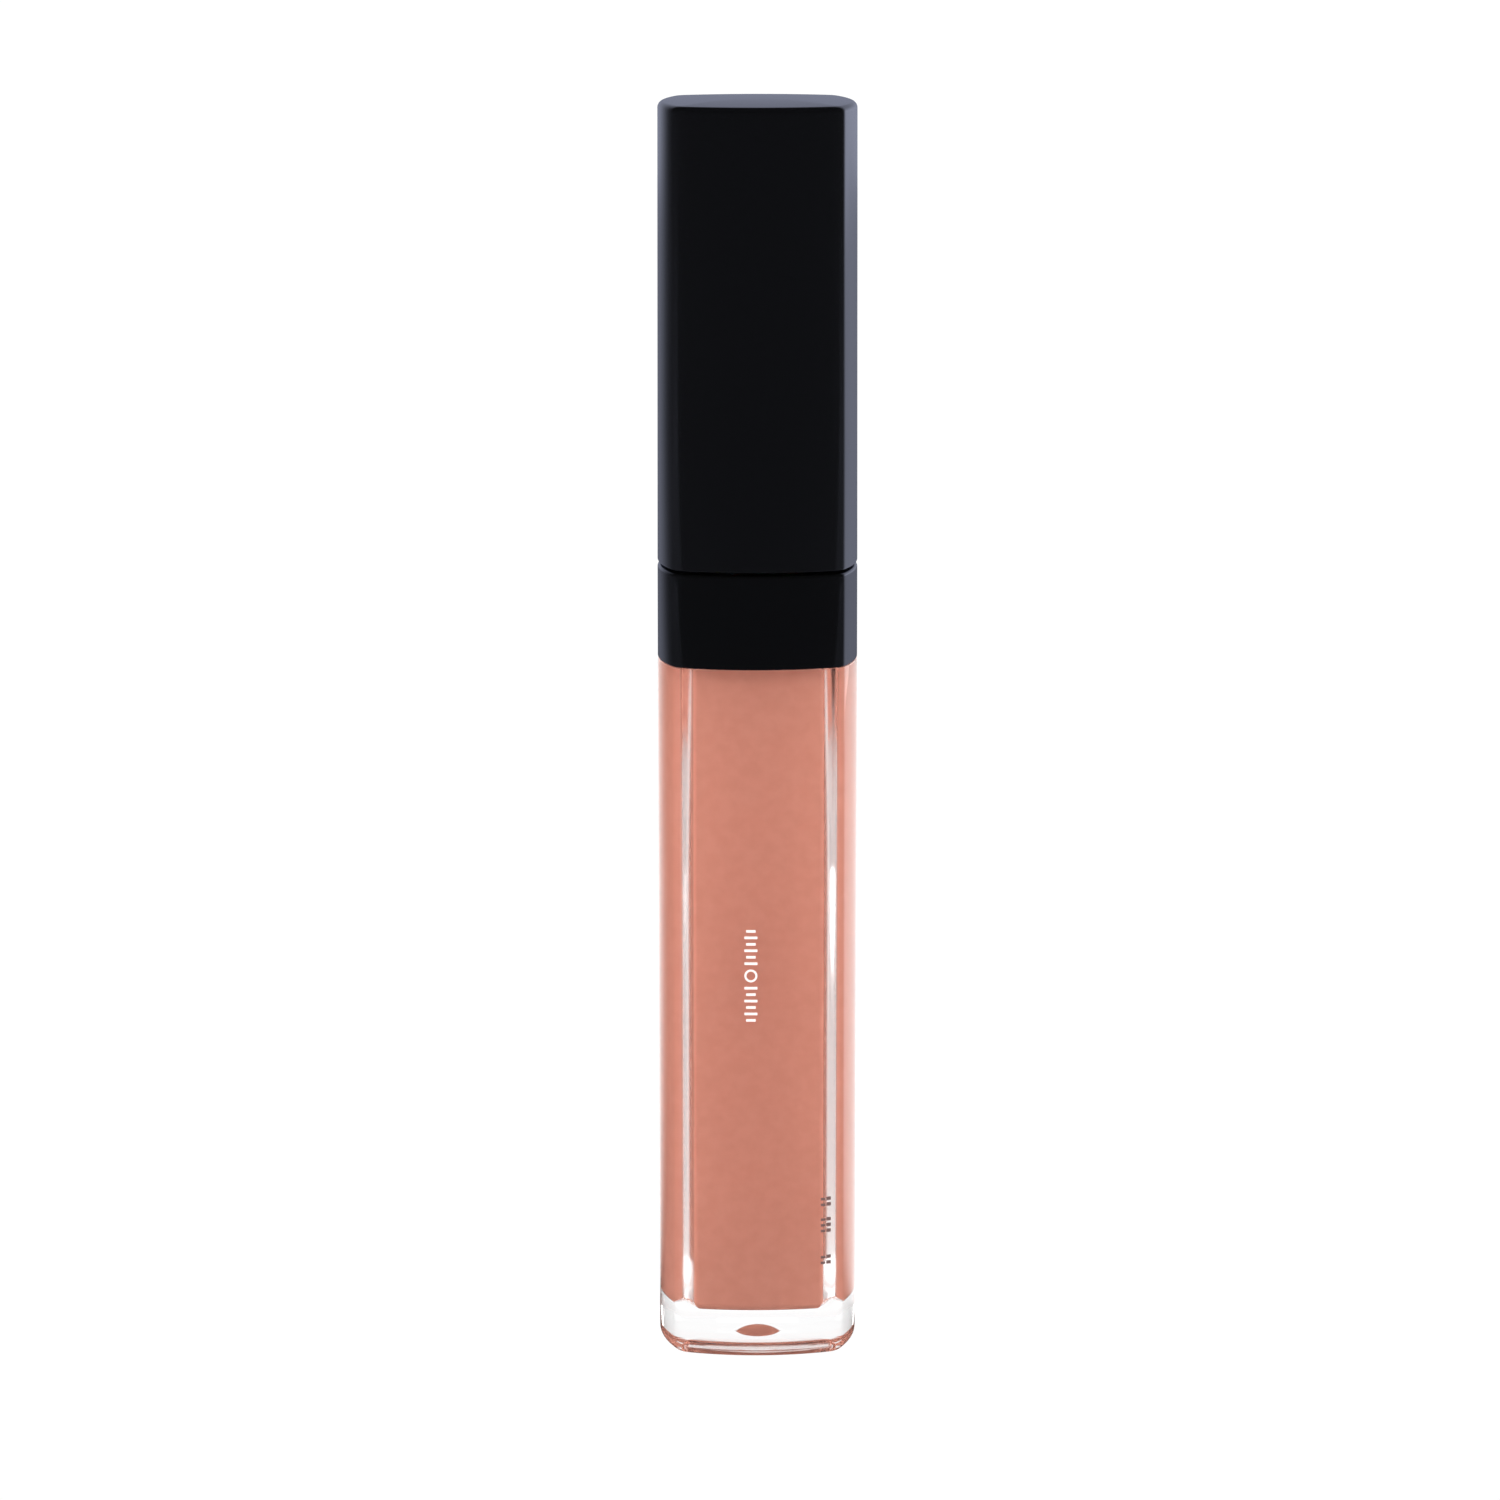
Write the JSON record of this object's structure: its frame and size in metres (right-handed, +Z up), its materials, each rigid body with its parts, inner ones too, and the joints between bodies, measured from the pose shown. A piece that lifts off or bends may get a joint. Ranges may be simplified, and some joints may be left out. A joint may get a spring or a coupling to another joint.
{
  "type": "lip gloss tube",
  "caption": "Slim square lip gloss tube with bowed faces: thick clear bottle of salmon gloss, black collar, black screw cap carrying a wand with a doe-foot applicator.",
  "frame": {"origin": "middle of the base, on the surface it stands on", "axes": "+Z up along the tube, -Y towards the front face with the printed mark, +X to the viewer's right"},
  "size_m": [0.017, 0.017, 0.1071],
  "materials": {
    "clear_plastic": "polished clear, thick wall",
    "gloss_colour": "opaque creamy liquid",
    "wiper_plastic": "natural soft polyethylene",
    "collar_black": "smooth black",
    "white_ink": "screen printed film",
    "black_ink": "screen printed film",
    "foam": "closed cell foam",
    "stem_black": "smooth black",
    "cap_black": "satin soft touch black",
    "inner_plastic": "plain moulded",
    "core_rubber": "soft moulded",
    "flock": "short dense nylon flock, stained by the gloss"
  },
  "bodies": {
    "bottle_body": {"bottle": "clear_plastic", "gloss_fill": "gloss_colour", "wiper": "wiper_plastic", "collar": "collar_black", "front_mark": "white_ink", "side_print": "black_ink"},
    "washer_body": {"seal_washer": "foam"},
    "stem_body": {"wand_stem": "stem_black"},
    "cap_body": {"cap_shell": "cap_black", "inner_cap": "inner_plastic", "applicator_core": "core_rubber", "applicator_flock": "flock"}
  },
  "joints": [
    {"name": "cap_pull", "type": "slide", "parent": "bottle_body", "child": "washer_body", "axis": [0, 0, 1], "range_m": [0, 0.075]},
    {"name": "thread_lift", "type": "slide", "parent": "washer_body", "child": "stem_body", "axis": [0, 0, 1], "range_m": [0, 0.00375]},
    {"name": "cap_turn", "type": "hinge", "parent": "stem_body", "child": "cap_body", "pos_m": [0, 0, 0.0725], "axis": [0, 0, 1], "range_deg": [0, 540]}
  ],
  "couplings": [
    {"joint": "thread_lift", "follows": "cap_turn", "m_per_rad": 0.00039789}
  ]
}
